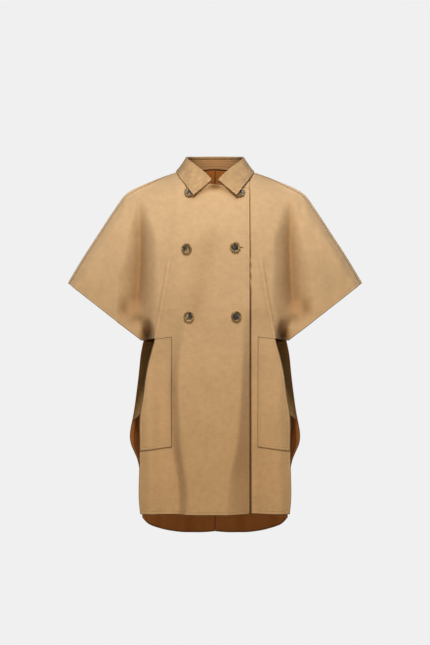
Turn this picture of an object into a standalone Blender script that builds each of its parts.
"""Poncho jacket: a double-breasted short coat whose fronts and backs are cut in one with wide cape sleeves.

Metres, +Z up. The origin is the middle of the neck at the level of the shoulders. The front faces -Y and
the wearer's right side is at -X. Every cloth piece is a wall of even thickness: its outer face is worked out
as a grid of points and the inner face is the same grid moved in along the normals.

The outline is drawn as it is seen from the front, one side only, with "out" measured from the centre line and
"up" from the shoulders. The depth of the front and of the back at each place comes from how far the figure
inside reaches, rounded off towards the shoulder and overarm edge.
"""

import math

import bpy
import numpy as np

# Driving sizes
CLOTH = 0.0016  # wall of the main cloth
LINING = 0.0010
LINING_GAP = 0.0006
LINING_DIP = 0.0015  # the back's lining hangs this much further in at the underarm
LINING_DIP_WIDE = 0.015
COLLAR_CLOTH = 0.0018
SEAM_GAP = 0.0003  # air between pieces that are sewn together
LAP = 0.0747  # how far each front passes the centre line
LAP_TOP = -0.0335
LAP_LIFT = 0.0020  # the right front rides this far out, the left front this far in
LAP_FLARE = 0.0050  # more lift of the lap's free edge at the hem
LAP_TUCK = 0.0030  # and the left front's hidden edge lies this much further in
WAIST = -0.364  # level where sleeve, front and side panel meet
BACK_WAIST = -0.370
FRONT_HEM = -0.740
BACK_HEM = -0.805
BACK_HEM_SIDE = -0.768
POCKET_IN = 0.0918  # inner edge of the patch pockets, from the centre line
POCKET_FOOT = -0.596
POCKET_DOWN = 0.04  # share of a row by which the patch starts below the waist
POCKET_SHORT = 0.08  # share of a column by which it stays inside the front's side edge
SLIT_TOP_FRONT = -0.511
SLIT_TOP_BACK = -0.548
SEAM_IN = 0.009  # the overarm seam lies this far inside the arm's outline
BOW_AT = 0.16  # the fronts and backs are rounded across; the bow below is measured here
FRONT_BOW = 0.026
BACK_BOW = 0.030
PANEL_BOW_TOP = 0.026  # the side panels are drawn in this far at the underarm and at the slit
PANEL_BOW_FOOT = 0.005
PANEL_IN = 0.0030  # how far inside the edges of front and back the side panel begins and ends
PANEL_BEHIND_FRONT = 0.0016  # air between it and the front's inner face
PANEL_BEFORE_BACK = 0.0010
PANEL_DOWN_FRONT = 0.0015  # its top lies this far below the waist
PANEL_DOWN_BACK = 0.0012
PANEL_SAG = 0.0030  # and sags by this in the middle
BOW_PAST = 0.16  # and past it they fall back with this slope
ROUND_NECK = 0.062  # how far in from the shoulder edge the cloth has turned to face forward
ROUND_ARM = 0.032  # and from the arm's edge
ROUND_FROM = 0.10  # where the one begins to pass into the other, and over what width
ROUND_OVER = 0.10
BUTTON_RADIUS = 0.0112
BUTTON_OFF = 0.0006  # air under a button

# Outline of shoulder and overarm, from the neck to the tip of the cape sleeve
OVERARM = (
    # out, up
    (0.068, 0.006),
    (0.088, 0.000),
    (0.120, -0.011),
    (0.153, -0.0245),
    (0.182, -0.038),
    (0.199, -0.0505),
    (0.210, -0.065),
    (0.230, -0.0946),
    (0.253, -0.130),
    (0.276, -0.165),
    (0.298, -0.200),
    (0.323, -0.242),
)

NECK_BACK = 0.0124  # top of the back at the centre
FLANK = ((0.052, 0.0072), (0.105, -0.120), (0.140, -0.250), (0.161, BACK_WAIST))  # a column down the back

# How far front and back reach from the arm's middle plane, by level
DEPTH = (
    # up, front, back
    (0.040, 0.070, 0.050),
    (0.010, 0.080, 0.062),
    (-0.030, 0.092, 0.084),
    (-0.080, 0.110, 0.106),
    (-0.140, 0.1255, 0.118),
    (-0.180, 0.1290, 0.122),
    (-0.220, 0.1292, 0.124),
    (-0.300, 0.1268, 0.121),
    (-0.360, 0.1252, 0.118),
    (-0.520, 0.1265, 0.118),
    (-0.740, 0.1300, 0.126),
    (-0.820, 0.1310, 0.129),
)

# Lines that run down the front from the neckline to the level of the waist
FRONT_RAYS = (
    # name, then out and up at the neck, at two places between, and at the end
    ("pocket", (0.030, -0.0275), (0.060, -0.120), (0.084, -0.245), (POCKET_IN, WAIST)),
    ("crease", (0.060, -0.0100), (0.082, -0.095), (0.1025, -0.220), (0.129, WAIST)),
    ("valley", (0.066, -0.0020), (0.115, -0.085), (0.148, -0.215), (0.159, -0.368)),
)

# Side edge of the front below the waist
FRONT_SIDE = (
    # up, out
    (WAIST, 0.129),
    (-0.411, 0.1435),
    (-0.443, 0.1500),
    (-0.486, 0.1560),
    (-0.516, 0.1615),
    (-0.560, 0.1628),
    (-0.640, 0.1628),
    (-0.722, 0.1625),
    (FRONT_HEM, 0.1605),
)

# Side edge of the back below the waist: it swings out at the slit and comes in again
BACK_SIDE = (
    # up, out
    (BACK_WAIST, 0.1610),
    (-0.400, 0.1668),
    (-0.435, 0.1705),
    (-0.489, 0.1768),
    (-0.543, 0.1850),
    (-0.579, 0.1912),
    (-0.600, 0.1895),
    (-0.632, 0.1765),
    (-0.660, 0.1700),
    (BACK_HEM_SIDE, 0.1640),
)

# Rounded hem of the back, lower in the middle than at the slits
BACK_HEM_CURVE = (
    # out, up
    (0.000, -0.8030),
    (0.030, BACK_HEM),
    (0.060, -0.8040),
    (0.094, -0.8010),
    (0.121, -0.7955),
    (0.140, -0.7885),
    (0.155, -0.7790),
    (0.164, BACK_HEM_SIDE),
)

# The collar from centre back (first row) round to its front end (last row): the neck seam it stands on, its
# fold, and its outer edge with how far that edge stays clear of the cloth below, to pass over the top buttons
COLLAR = (
    # seam out, seam up, fold out, fold y, fold up, edge out, edge up, clear, 1 behind or -1 in front
    (0.0000, 0.0124, 0.0000, 0.0500, 0.0396, 0.0000, -0.0030, 0.0080, 1),
    (0.0300, 0.0095, 0.0330, 0.0465, 0.0393, 0.0460, -0.0025, 0.0092, 1),
    (0.0560, 0.0070, 0.0535, 0.0270, 0.0378, 0.0760, 0.0018, 0.0114, 1),
    (0.0680, 0.0060, 0.0588, -0.0010, 0.0340, 0.0862, 0.0045, 0.0000, 0),
    (0.0655, -0.0015, 0.0560, -0.0340, 0.0262, 0.0808, -0.0085, 0.0082, -1),
    (0.0600, -0.0095, 0.0430, -0.0590, 0.0140, 0.0705, -0.0235, 0.0072, -1),
    (0.0400, -0.0205, 0.0240, -0.0800, -0.0035, 0.0585, -0.0395, 0.0114, -1),
    (0.0050, -0.0295, 0.0055, -0.0945, -0.0205, 0.0465, -0.0563, 0.0118, -1),
)
ROLL = 0.0027  # radius of the rolled fold of the collar
COLLAR_SWELL = 0.0015  # how far its fall bellies out
STAND_UP = 0.0014  # the stand begins this far above the neck seam
STAND_SHORT = 0.0030  # and ends this far below the middle of the roll
STAND_SHARES = (0, 1 / 3, 2 / 3, 1)
ROLL_ANGLES = (-90, -30, 30, 90)
FALL_SHARES = (0.22, 0.45, 0.70, 1.0)

# Soft folds of the fronts, each a line of places down the cloth: a trough has a positive depth, a ridge a
# negative one
FRONT_FOLDS = (
    # half-width towards the arm, towards the body, then up, out and depth at places down the fold
    ((0.015, 0.013), (-0.400, 0.1120, 0.001), (-0.600, 0.1160, 0.002), (-0.790, 0.1180, 0.002)),
    ((0.013, 0.013), (-0.430, 0.1380, -0.003), (-0.600, 0.1400, -0.003), (-0.790, 0.1420, -0.004)),
)
FOLD_FADE = 0.050  # folds rise and end over this length

# The hollow that runs from the underarm up towards the shoulder
HOLLOW = (
    # up, deepest line, how wide the hollow is beside it towards the body and towards the arm, depth
    (-0.066, 0.1620, 0.012, 0.010, 0.000),
    (-0.109, 0.1630, 0.020, 0.017, 0.012),
    (-0.152, 0.1620, 0.032, 0.026, 0.024),
    (-0.195, 0.1630, 0.034, 0.032, 0.031),
    (-0.238, 0.1652, 0.038, 0.041, 0.035),
    (-0.268, 0.1673, 0.041, 0.039, 0.036),
    (-0.289, 0.1695, 0.041, 0.0375, 0.036),
    (-0.311, 0.1695, 0.040, 0.0375, 0.034),
    (-0.334, 0.1640, 0.031, 0.042, 0.030),
    (-0.367, 0.1600, 0.026, 0.046, 0.028),
)
HOLLOW_ROUND = 0.006  # rounding of its bottom
HOLLOW_BEND = 1.6  # how its sides bend; 1 is straight
HOLLOW_STRAIGHT = 1.15  # the same towards the arm, below this level, reached over this height
STRAIGHT_FROM = -0.21
STRAIGHT_OVER = 0.08

DENTS = (
    # out, up, half-width, half-height, depth: the underarm, and the cloth that bellies out beside it
    (0.1465, -0.3540, 0.0090, 0.0200, 0.040),
    (0.1722, -0.3080, 0.0150, 0.0180, -0.012),
)

# The middle of the front stands out between two troughs, the right one along the lap's free edge
MIDDLE = (
    # up, then across (right of the picture is +) and depth of the left trough and of the right one
    (-0.300, -0.0620, 0.000, 0.0600, 0.000),
    (-0.342, -0.0600, 0.005, 0.0590, 0.006),
    (-0.386, -0.0686, 0.013, 0.0580, 0.011),
    (-0.446, -0.0750, 0.018, 0.0558, 0.017),
    (-0.523, -0.0735, 0.020, 0.0515, 0.022),
    (-0.600, -0.0680, 0.021, 0.0430, 0.027),
    (-0.662, -0.0590, 0.022, 0.0300, 0.030),
    (-0.708, -0.0555, 0.023, 0.0240, 0.030),
    (-0.745, -0.0575, 0.022, 0.0220, 0.029),
)
TROUGH_WALL = 0.024  # the left trough falls over this width
TROUGH_BACK = 0.056  # and both come forward again over this one
TROUGH_EASE = 0.15  # how softly the right one begins

BUTTONS = (
    # out (right of the picture is +), up
    (-0.0587, -0.0520),
    (0.0550, -0.0500),
    (-0.0602, -0.1720),
    (0.0428, -0.1690),
    (-0.0558, -0.3170),
    (0.0451, -0.3160),
)

# Turned section of a button, from the middle of its flat back round the rim to the middle of its dish
BUTTON_SECTION = (
    # radius as a share, height
    (0.00, 0.0000),
    (0.86, 0.0000),
    (1.00, 0.0013),
    (1.00, 0.0030),
    (0.90, 0.0042),
    (0.74, 0.0041),
    (0.60, 0.0030),
    (0.00, 0.0028),
)

# Rows and columns of the grids
UPPER_ROWS = 14
FOOT_ROWS = 5
COLLAR_STEPS = 40
BUTTON_SIDES = 18
POCKET_COLUMN = 12  # the front's column along the pocket's inner edge
CREASE_SHARES = (0, 0.20, 0.45, 0.72)  # columns from the crease to the valley
SLEEVE_SHARES = (0, 0.12, 0.24, 0.37, 0.52, 0.68, 0.83, 0.94, 1)  # and on to the overarm seam
LINING_SHORT = 0.25  # the lining stops this share of a column short of the back's side edge
LINING_COLUMNS_SHORT = 5  # and leaves out this many columns at the arm
LINING_ROWS_SHORT = (0.05, 0.12, 0.10)  # share of a row it is short of neck, sleeve hem and hem

COLOURS = {
    # name: red, green, blue, roughness
    "cloth": (0.56, 0.35, 0.18, 0.85),
    "lining": (0.30, 0.09, 0.025, 0.60),
    "horn": (0.10, 0.06, 0.03, 0.30),
}


def columns(table):
    """A table's columns as arrays."""
    return [np.array(column, dtype=float) for column in zip(*table)]


def spline(keys, values, at):
    """Natural cubic spline through (keys, values), read at the places at. Keys may rise or fall."""
    keys, values = np.asarray(keys, float), np.asarray(values, float)
    if keys[0] > keys[-1]:
        keys, values = keys[::-1], values[::-1]
    step = np.diff(keys)
    slope = np.diff(values) / step
    matrix = np.eye(len(keys))
    right = np.zeros(len(keys))
    for i in range(1, len(keys) - 1):
        matrix[i, i - 1 : i + 2] = step[i - 1], 2 * (step[i - 1] + step[i]), step[i]
        right[i] = 6 * (slope[i] - slope[i - 1])
    bend = np.linalg.solve(matrix, right)
    at = np.clip(np.asarray(at, float), keys[0], keys[-1])
    i = np.clip(np.searchsorted(keys, at) - 1, 0, len(step) - 1)
    a, b, h = keys[i + 1] - at, at - keys[i], step[i]
    return (
        (bend[i] * a**3 + bend[i + 1] * b**3) / (6 * h)
        + (values[i] / h - bend[i] * h / 6) * a
        + (values[i + 1] / h - bend[i + 1] * h / 6) * b
    )


def along(points, at):
    """Points on the smooth curve through points, at the given shares of its length."""
    points = np.asarray(points, float)
    length = np.concatenate([[0], np.cumsum(np.linalg.norm(np.diff(points, axis=0), axis=1))])
    fine = np.linspace(0, length[-1], 200)
    dense = np.stack([spline(length, column, fine) for column in points.T], axis=1)
    run = np.concatenate([[0], np.cumsum(np.linalg.norm(np.diff(dense, axis=0), axis=1))])
    at = np.asarray(at, float) * run[-1]
    return np.stack([np.interp(at, run, column) for column in dense.T], axis=-1)


def smooth(t):
    t = np.clip(t, 0, 1)
    return t * t * (3 - 2 * t)


OUTLINE = along(OVERARM, np.linspace(0, 1, 161))


def from_outline(out, up):
    """Distance in the front view to the shoulder and overarm outline, carried on past its tip."""
    tip = OUTLINE[-1] + (OUTLINE[-1] - OUTLINE[-8]) * np.linspace(0.1, 3, 30)[:, None]
    line = np.concatenate([OUTLINE, tip])
    away = np.hypot(out[..., None] - line[:, 0], up[..., None] - line[:, 1])
    return away.min(axis=-1)


def turned(out, up):
    """0 on the shoulder and arm outline, 1 where the cloth has turned to face forward: a quarter ellipse."""
    reach = ROUND_NECK + (ROUND_ARM - ROUND_NECK) * smooth((out - ROUND_FROM) / ROUND_OVER)
    near = np.clip(from_outline(out, up) / reach, 0, 1)
    return np.sqrt(1 - (1 - near) ** 2)


def bow(out, deepest):
    """The figure's roundness across: a parabola over the body, a straight slope over the sleeve."""
    past = np.clip(np.abs(out) - BOW_AT, 0, None)
    return deepest * (np.clip(np.abs(out), 0, BOW_AT) / BOW_AT) ** 2 + BOW_PAST * past


def fold(out, up, row):
    """One soft fold: a bell across its line, wider on one side, faded at both ends."""
    (to_arm, to_body), *places = row
    levels, line, depth = columns(places)
    past = out - spline(levels, line, up)
    bell = np.exp(-((past / np.where(past > 0, to_arm, to_body)) ** 2))
    ends = smooth((levels[0] - up) / FOLD_FADE + 0.5) * smooth((up - levels[-1]) / FOLD_FADE + 0.5)
    return spline(levels, depth, up) * ends * bell


def read(table, up):
    """The columns of a table after the first, read at the levels up."""
    levels, *values = columns(table)
    return [spline(levels, value, up) for value in values]


def troughs(across, up):
    """Depth beside the middle: left, an S curve down and back; right, a ramp to the lap's edge and back."""
    left, left_deep, right, right_deep = read(MIDDLE, up)
    beyond = left - across
    first = left_deep * smooth(beyond / TROUGH_WALL) * (1 - smooth((beyond - TROUGH_WALL) / TROUGH_BACK))
    ramp = np.clip((across - right) / (LAP - right), 0, 1)
    ramp = ramp * ramp * (1 + TROUGH_EASE) / (ramp + TROUGH_EASE)
    second = right_deep * ramp * (1 - smooth((across - LAP) / TROUGH_BACK))
    return np.where(up < MIDDLE[0][0], first + second, 0)


def hollow(out, up):
    """A V across with a rounded bottom, its sides bent, straighter towards the arm lower down, with dents."""
    line, to_body, to_arm, deepest = read(HOLLOW, up)
    away = np.sqrt((out - line) ** 2 + HOLLOW_ROUND**2) - HOLLOW_ROUND
    bend_arm = HOLLOW_BEND + (HOLLOW_STRAIGHT - HOLLOW_BEND) * smooth((STRAIGHT_FROM - up) / STRAIGHT_OVER)
    body_side = np.clip(1 - away / to_body, 0, 1) ** HOLLOW_BEND
    arm_side = np.clip(1 - away / to_arm, 0, 1) ** bend_arm
    deep = deepest * np.where(out < line, body_side, arm_side)
    for dent_out, dent_up, wide, high, dent in DENTS:
        deep = deep + dent * np.exp(-(((out - dent_out) / wide) ** 2 + ((up - dent_up) / high) ** 2))
    return np.where((up > BACK_WAIST - 0.001) & (up < HOLLOW[0][0]), deep, 0)


def front_y(out, up, side=0):
    """Depth of the front's outer face. Past the centre line out is negative: there the right front (side -1)
    rides out, its free edge more at the hem, and the left front (side 1) lies under it."""
    reach = spline(*columns(DEPTH)[:2], up) - bow(out, FRONT_BOW) - troughs((side or 1) * out, up)
    far = np.abs(out)
    for row in FRONT_FOLDS:
        reach = reach - fold(out, up, row)
    deep = reach * turned(far, up) - hollow(out, up)
    lift = 0.0
    if side > 0:
        lift = -LAP_LIFT - LAP_TUCK * smooth((-0.03 - out) / 0.03)
    elif side < 0:
        free = smooth((0.02 - out) / 0.09) * smooth((-0.20 - up) / 0.5)
        lift = LAP_LIFT + LAP_FLARE * free
    return -(deep + lift * smooth((0.105 - far) / 0.025))


def back_y(out, up):
    levels, _, back = columns(DEPTH)
    return (spline(levels, back, up) - bow(out, BACK_BOW)) * turned(out, up)


def between(left, right, share):
    """Grid columns from the points left to the points right, at the given shares of the way."""
    return left[:, None, :] + (right - left)[:, None, :] * np.asarray(share)[None, :, None]


def front_plan():
    """Front view of one front, as (rows, columns, 2) of out and up: the blocks above and below the waist.

    The upper block's last column lies past the overarm seam. It only turns the normals there, as on the back,
    so that the two walls meet edge to edge.
    """
    t = np.linspace(0, 1, UPPER_ROWS + 1)
    lap = np.stack([np.full_like(t, -LAP), LAP_TOP + (WAIST - LAP_TOP) * t], axis=1)
    pocket, crease, vale = (along(ray[1:], t) for ray in FRONT_RAYS)
    seam = along(seam_line(), t)
    upper = np.concatenate(
        [
            between(lap, pocket, np.linspace(0, 1, POCKET_COLUMN + 1)[:-1]),
            between(pocket, crease, np.linspace(0, 1, 4)[:-1]),
            between(crease, vale, CREASE_SHARES),
            between(vale, seam, SLEEVE_SHARES),
            between(seam, along(OUTLINE[::4], t), (0.4,)),
        ],
        axis=1,
    )
    levels = np.concatenate(
        [
            np.linspace(WAIST, SLIT_TOP_FRONT, FOOT_ROWS + 1)[1:],
            np.linspace(SLIT_TOP_FRONT, POCKET_FOOT, 4)[1:],
            np.linspace(POCKET_FOOT, FRONT_HEM, FOOT_ROWS + 1)[1:],
        ]
    )
    side_up, side_out = columns(FRONT_SIDE)
    side = np.stack([spline(side_up, side_out, levels), levels], axis=1)
    lap = np.stack([np.full_like(levels, -LAP), levels], axis=1)
    pocket = np.stack([np.full_like(levels, POCKET_IN), levels], axis=1)
    lower = np.concatenate(
        [
            between(lap, pocket, np.linspace(0, 1, POCKET_COLUMN + 1)[:-1]),
            between(pocket, side, np.linspace(0, 1, 4)),
        ],
        axis=1,
    )
    return upper, lower


def seam_line():
    """The overarm seam: the outline moved in, by almost nothing at the neck."""
    ahead = np.gradient(OUTLINE, axis=0)
    ahead /= np.linalg.norm(ahead, axis=1)[:, None]
    inward = np.stack([ahead[:, 1], -ahead[:, 0]], axis=1)
    share = 0.15 + 0.85 * smooth((OUTLINE[:, 0] - 0.07) / 0.13)
    return OUTLINE + inward * (SEAM_IN * share)[:, None]


def back_plan():
    """Front view of one back half, from the centre seam to the arm's outline and on over it to the seam."""
    t = np.linspace(0, 1, UPPER_ROWS + 1)
    centre = np.stack([np.full_like(t, SEAM_GAP / 2), NECK_BACK + (BACK_WAIST - NECK_BACK) * t], axis=1)
    flank = along(FLANK, t)
    edge = along(OUTLINE[::4], t)
    upper = np.concatenate(
        [
            between(centre, flank, np.linspace(0, 1, 7)[:-1]),
            between(flank, edge, np.sin(np.linspace(0, math.pi / 2, 9))),
        ],
        axis=1,
    )
    foot = np.linspace(0, 1, 13)[1:]
    side_up, side_out = columns(BACK_SIDE)
    hem_out, hem_up = columns(BACK_HEM_CURVE)
    share = np.linspace(0, 1, 7)
    hem = spline(hem_out, hem_up, share * hem_out[-1])
    side = spline(side_up, side_out, BACK_WAIST + (BACK_HEM_SIDE - BACK_WAIST) * foot)
    lower_out = np.clip(share[None, :] * side[:, None], SEAM_GAP / 2, None)
    lower_up = BACK_WAIST + foot[:, None] * (hem[None, :] - BACK_WAIST)
    return upper, np.stack([lower_out, lower_up], axis=-1)


def joined(upper, lower):
    """Points of an L-shaped grid, and the numbers of its two blocks, which share the upper one's last row."""
    rows, cols = upper.shape[:2]
    narrow = lower.shape[1]
    top = np.arange(rows * cols).reshape(rows, cols)
    foot = rows * cols + np.arange(lower.shape[0] * narrow).reshape(-1, narrow)
    foot = np.concatenate([top[-1:, :narrow], foot])
    points = np.concatenate([upper.reshape(-1, upper.shape[-1]), lower.reshape(-1, lower.shape[-1])])
    return points, top, foot


def quads_of(index):
    """Quads of a grid of point numbers."""
    return np.stack([index[:-1, :-1], index[:-1, 1:], index[1:, 1:], index[1:, :-1]], axis=-1).reshape(-1, 4)


def normals(points, quads):
    """Unit normal at each point, the mean of its faces'."""
    a, b, c, d = (points[quads[:, i]] for i in range(4))
    face = np.cross(c - a, d - b)
    total = np.zeros_like(points)
    for i in range(4):
        np.add.at(total, quads[:, i], face)
    return total / np.linalg.norm(total, axis=1)[:, None]


def wall(name, colour, points, normal, quads, thick=CLOTH):
    """A closed wall: the outer face is the points, the inner face lies thick further in."""
    return skin(name, colour, points, points - normal * thick, quads)


def skin(name, colour, outer, inner, quads):
    """A closed body between two faces that share their quads."""
    n = len(outer)
    triangles = np.concatenate([quads[:, (0, 1, 2)], quads[:, (0, 2, 3)]])
    edges = np.concatenate([triangles[:, (0, 1)], triangles[:, (1, 2)], triangles[:, (2, 0)]])
    pairs = {(int(a), int(b)) for a, b in edges}
    rim = np.array([(a, b) for a, b in sorted(pairs) if (b, a) not in pairs])
    faces = [
        triangles,
        triangles[:, ::-1] + n,
        np.stack([rim[:, 1], rim[:, 0], rim[:, 0] + n], axis=1),
        np.stack([rim[:, 1], rim[:, 0] + n, rim[:, 1] + n], axis=1),
    ]
    return add(name, colour, np.concatenate([outer, inner]), np.concatenate(faces))


def drawn_in(grid, first=0.0, last=0.0):
    """A grid whose first and last rows are moved towards their neighbours by these shares of the way."""
    grid = grid.copy()
    grid[0] += (grid[1] - grid[0]) * first
    grid[-1] += (grid[-2] - grid[-1]) * last
    return grid


def add(name, colour, points, faces):
    """One object from points and faces, shaded smooth but for its edges. Unused points are dropped."""
    used, faces = np.unique(faces, return_inverse=True)
    faces = faces.reshape(-1, 3)
    mesh = bpy.data.meshes.new(name)
    mesh.from_pydata(points[used].tolist(), [], faces.tolist())
    mesh.update()
    mesh.shade_smooth()
    mesh.set_sharp_from_angle(angle=math.radians(40))
    mesh.materials.append(material(name, colour))
    body = bpy.data.objects.new(name, mesh)
    bpy.context.scene.collection.objects.link(body)
    return body


def material(name, colour):
    red, green, blue, rough = COLOURS[colour]
    finish = bpy.data.materials.new(name)
    finish.use_nodes = True
    shader = finish.node_tree.nodes["Principled BSDF"]
    shader.inputs["Base Color"].default_value = (red, green, blue, 1)
    shader.inputs["Roughness"].default_value = rough
    shader.inputs["Metallic"].default_value = 0
    return finish


def sided(side, out, y, up):
    """Points of one side: side -1 is the wearer's right."""
    return np.stack([side * out, y, up], axis=-1)


def facing(quads, side):
    """Quads turned so that the front's face forward on either side."""
    return quads[:, ::-1] if side > 0 else quads


def front(side):
    """One front: points, normals, quads and the point numbers of its lower block."""
    plan, top, foot = joined(*front_plan())
    out, up = plan[:, 0], plan[:, 1]
    points = sided(side, out, front_y(out, up, side), up)
    normal = normals(points, facing(np.concatenate([quads_of(top), quads_of(foot)]), side))
    quads = np.concatenate([quads_of(top[:, :-1]), quads_of(foot)])
    return points, normal, facing(quads, side), foot


def pocket(side):
    """The patch is the front's own stretch from its inner line to the side edge, moved out."""
    points, normal, quads, foot = front(side)
    patch = foot[: FOOT_ROWS + 4, POCKET_COLUMN:]
    grids = []
    for away in (CLOTH, SEAM_GAP):
        grid = (points + normal * away)[patch]
        grid = drawn_in(grid, POCKET_DOWN)
        grids.append(drawn_in(grid.swapaxes(0, 1), 0.0, POCKET_SHORT).swapaxes(0, 1).reshape(-1, 3))
    index = np.arange(patch.size).reshape(patch.shape)
    return grids[0], grids[1], facing(quads_of(index), side)


def back(side):
    """The back half: past the arm's outline its last columns lie on the front side, to the overarm seam."""
    upper, lower = back_plan()
    t = np.linspace(0, 1, UPPER_ROWS + 1)
    edge, seam = upper[:, -1], along(seam_line(), t)
    apart = np.linalg.norm(seam - edge, axis=1)[:, None, None]
    past = np.concatenate([0.45 + 0 * apart, 1 - 2 * SEAM_GAP / apart, 1.9 + 0 * apart], axis=1)
    over = edge[:, None, :] + (seam - edge)[:, None, :] * past
    y_upper = back_y(upper[..., 0], upper[..., 1])
    y_over = front_y(over[..., 0], over[..., 1])
    wide = np.concatenate([np.dstack([upper, y_upper]), np.dstack([over, y_over])], axis=1)
    narrow = np.dstack([lower, back_y(lower[..., 0], lower[..., 1])])
    grid, top, foot = joined(wide, narrow)
    points = sided(side, grid[:, 0], grid[:, 2], grid[:, 1])
    normal = normals(points, facing(np.concatenate([quads_of(top), quads_of(foot)]), -side))
    quads = np.concatenate([quads_of(top[:, :-1]), quads_of(foot)])
    return points, normal, facing(quads, -side), top, foot


def lining(side):
    """The back's inner face again, moved in and ended a little inside its edges."""
    points, normal, _, top, foot = back(side)
    top = top[:, :-LINING_COLUMNS_SHORT]
    to_underarm = np.hypot(np.abs(points[:, 0]) - BACK_SIDE[0][1], points[:, 2] - BACK_WAIST)
    dip = LINING_DIP * np.exp(-((to_underarm / LINING_DIP_WIDE) ** 2))
    at_neck, at_sleeve, at_hem = LINING_ROWS_SHORT
    faces = []
    for away in (CLOTH + LINING_GAP, CLOTH + LINING_GAP + LINING):
        moved = points - normal * (away + dip)[:, None]
        upper = drawn_in(moved[top], at_neck)
        upper[-1, foot.shape[1] :] = drawn_in(upper, 0.0, at_sleeve)[-1, foot.shape[1] :]
        lower = drawn_in(moved[foot], 0.0, at_hem)
        lower[:, -1] += (lower[:, -2] - lower[:, -1]) * LINING_SHORT
        upper[-1, : foot.shape[1]] = lower[0]
        faces.append(joined(upper, lower[1:])[0])
    _, top, foot = joined(upper, lower[1:])
    return faces[0], faces[1], facing(np.concatenate([quads_of(top), quads_of(foot)]), -side)


def side_panel(side):
    """The gore from behind the front's side edge to inside the back's, cut off slanting at the slit."""
    row = np.linspace(0, 1, 9)
    share = np.linspace(0, 1, 9)
    side_up, side_out = columns(FRONT_SIDE)
    back_up, back_out = columns(BACK_SIDE)
    fore_up = WAIST - PANEL_DOWN_FRONT + (SLIT_TOP_FRONT - WAIST) * row
    rear_up = BACK_WAIST - PANEL_DOWN_BACK + (SLIT_TOP_BACK - BACK_WAIST) * row
    fore_out = spline(side_up, side_out, fore_up) - PANEL_IN
    rear_out = spline(back_up, back_out, rear_up) - PANEL_IN
    fore_y = front_y(fore_out, fore_up, side) + CLOTH + PANEL_BEHIND_FRONT
    rear_y = back_y(rear_out, rear_up) - CLOTH - PANEL_BEFORE_BACK
    fore = np.stack([fore_out, fore_y, fore_up], axis=1)
    rear = np.stack([rear_out, rear_y, rear_up], axis=1)
    grid = between(fore, rear, share)
    bow = PANEL_BOW_FOOT + (PANEL_BOW_TOP - PANEL_BOW_FOOT) * (1 - row)
    grid[..., 0] -= bow[:, None] * np.sin(math.pi * share)[None, :]
    grid[0, :, 2] -= PANEL_SAG * np.sin(math.pi * share)
    points = grid.reshape(-1, 3) * (side, 1, 1)
    return points, facing(quads_of(np.arange(81).reshape(9, 9)), side)


def collar_lines():
    """Neck seam, fold and outer edge of the collar, from its right front end round to its left one."""
    seam_out, seam_up, fold_out, fold_y, fold_up, edge_out, edge_up, clear, behind = columns(COLLAR)
    seam_y = np.where(behind > 0, back_y(seam_out, seam_up), front_y(seam_out, seam_up)) * (behind != 0)
    edge_y = np.where(behind > 0, back_y(edge_out, edge_up), front_y(edge_out, edge_up)) * (behind != 0)
    edge_y = edge_y + behind * clear
    rows = np.arange(len(COLLAR))
    keys = np.concatenate([-rows[:0:-1], rows])
    at = np.linspace(keys[0], keys[-1], COLLAR_STEPS + 1)
    lines = []
    for out, y, up in ((seam_out, seam_y, seam_up), (fold_out, fold_y, fold_up), (edge_out, edge_y, edge_up)):
        across = spline(keys, np.concatenate([-out[:0:-1], out]), at)
        deep, high = (spline(keys, np.concatenate([v[:0:-1], v]), at) for v in (y, up))
        lines.append(np.stack([across, deep, high], axis=1))
    return lines


def unit(vectors):
    return vectors / np.linalg.norm(vectors, axis=1)[:, None]


def collar():
    """The stand and the turned-down collar, which starts on the stand's top edge and rolls over."""
    seam, crest, edge = collar_lines()
    rise = unit(crest - seam)
    outward = unit(np.cross(rise, np.gradient(crest, axis=0)))
    foot = seam - outward * CLOTH + rise * STAND_UP
    inner = crest - rise * ROLL
    top = inner - rise * STAND_SHORT
    stand = np.stack([foot + (top - foot) * share for share in STAND_SHARES])
    rows = [top + rise * 2 * SEAM_GAP]
    for angle in np.radians(ROLL_ANGLES):
        rows.append(inner + rise * ROLL * math.cos(angle) + outward * ROLL * (1 + math.sin(angle)))
    last = rows[-1]
    for share in FALL_SHARES:
        swell = COLLAR_SWELL * math.sin(math.pi * share)
        rows.append(last + (edge - last) * share + outward * swell)
    return stand, np.stack(rows)


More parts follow.
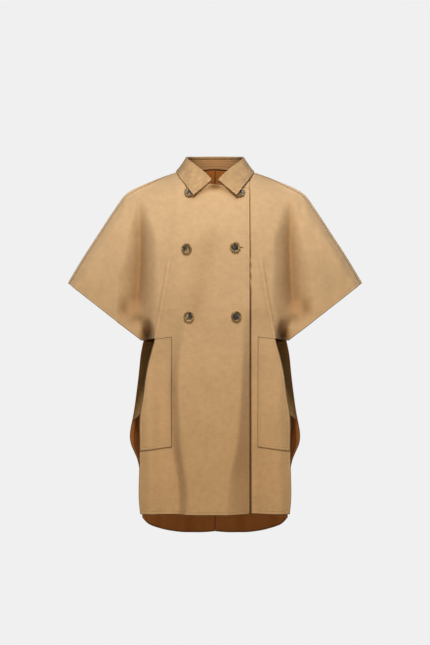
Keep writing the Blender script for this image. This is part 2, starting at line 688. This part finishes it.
def button(number, side_out, up):
    """One turned button, square to the cloth under it."""
    side = 1 if number % 2 else -1
    out, step = -side_out, 0.004

    def depth(more_out, more_up):
        return float(front_y(np.array(out + more_out), np.array(up + more_up), -1))

    slope_x = (depth(-step, 0) - depth(step, 0)) / (2 * step)
    slope_z = (depth(0, step) - depth(0, -step)) / (2 * step)
    axis = np.array([slope_x, -1.0, slope_z])
    axis /= np.linalg.norm(axis)
    across = np.cross(axis, (0, 0, 1))
    across /= np.linalg.norm(across)
    high = np.cross(across, axis)
    centre = np.array([side_out, depth(0, 0), up]) + axis * BUTTON_OFF
    turn = np.arange(BUTTON_SIDES) * 2 * math.pi / BUTTON_SIDES
    points = []
    for share, height in BUTTON_SECTION:
        ring = np.outer(np.cos(turn), across) + np.outer(np.sin(turn), high)
        ring = centre + axis * height + ring * (share * BUTTON_RADIUS)
        points.append(ring if share else ring[:1])
    numbers, start = [], 0
    for ring in points:
        numbers.append(start + np.arange(len(ring)) + np.zeros(BUTTON_SIDES, int))
        start += len(ring)
    index = np.stack(numbers)
    index = np.concatenate([index, index[:, :1]], axis=1)
    quads = quads_of(index)
    faces = np.concatenate([quads[:, (0, 1, 2)], quads[:, (0, 2, 3)]])
    whole = (faces[:, 0] != faces[:, 1]) & (faces[:, 1] != faces[:, 2]) & (faces[:, 0] != faces[:, 2])
    return np.concatenate(points), faces[whole][:, ::-1]


def build():
    for old in list(bpy.data.objects):
        bpy.data.objects.remove(old)
    for side, word in ((-1, "right"), (1, "left")):
        points, normal, quads, _ = front(side)
        wall(f"front_{word}", "cloth", points, normal, quads)
        points, normal, quads, _, _ = back(side)
        wall(f"back_{word}", "cloth", points, normal, quads)
        skin(f"back_lining_{word}", "lining", *lining(side))
        skin(f"pocket_{word}", "cloth", *pocket(side))
        points, quads = side_panel(side)
        wall(f"side_panel_{word}", "cloth", points, normals(points, quads), quads)
    stand, fall = collar()
    for name, grid, turned_over in (("collar_stand", stand, True), ("collar", fall, False)):
        quads = quads_of(np.arange(grid.shape[0] * grid.shape[1]).reshape(grid.shape[:2]))
        quads = quads[:, ::-1] if turned_over else quads
        points = grid.reshape(-1, 3)
        wall(name, "cloth", points, normals(points, quads), quads, COLLAR_CLOTH)
    for number, (out, up) in enumerate(BUTTONS):
        add(f"button_{number + 1}", "horn", *button(number, out, up))


build()
